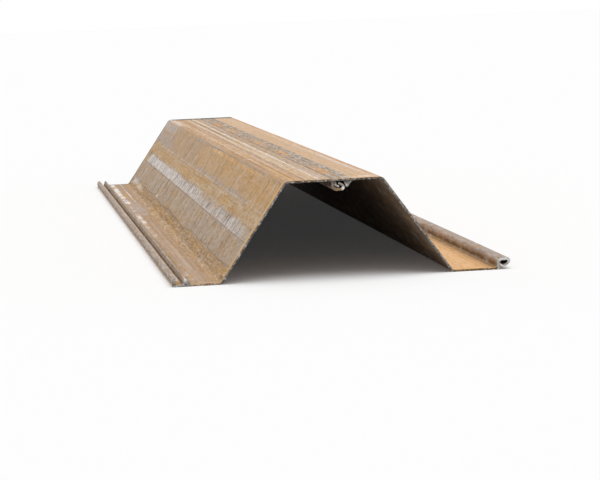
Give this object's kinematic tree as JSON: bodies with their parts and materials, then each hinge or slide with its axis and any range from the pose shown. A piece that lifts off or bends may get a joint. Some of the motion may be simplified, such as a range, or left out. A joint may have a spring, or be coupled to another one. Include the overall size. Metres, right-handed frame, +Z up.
{
  "type": "steel sheet pile",
  "caption": "Hot-rolled Z-section steel sheet piles threaded together at the crown interlock, with a free hook and a free thumb and finger along the outer edges, for retaining walls.",
  "frame": {"origin": "on the floor under the middle of the pair's overall width and length", "axes": "+X across the width, from the free thumb and finger to the free hook; +Y along the length; +Z up, towards the crown"},
  "size_m": [1.4448, 6, 0.42],
  "materials": {
    "left_steel": "hot-rolled mill scale under a light coat of rust, scuffed",
    "right_steel": "hot-rolled mill scale under a light coat of rust, scuffed"
  },
  "bodies": {
    "root": {"left_pile": "left_steel", "right_pile": "right_steel"}
  },
  "joints": []
}
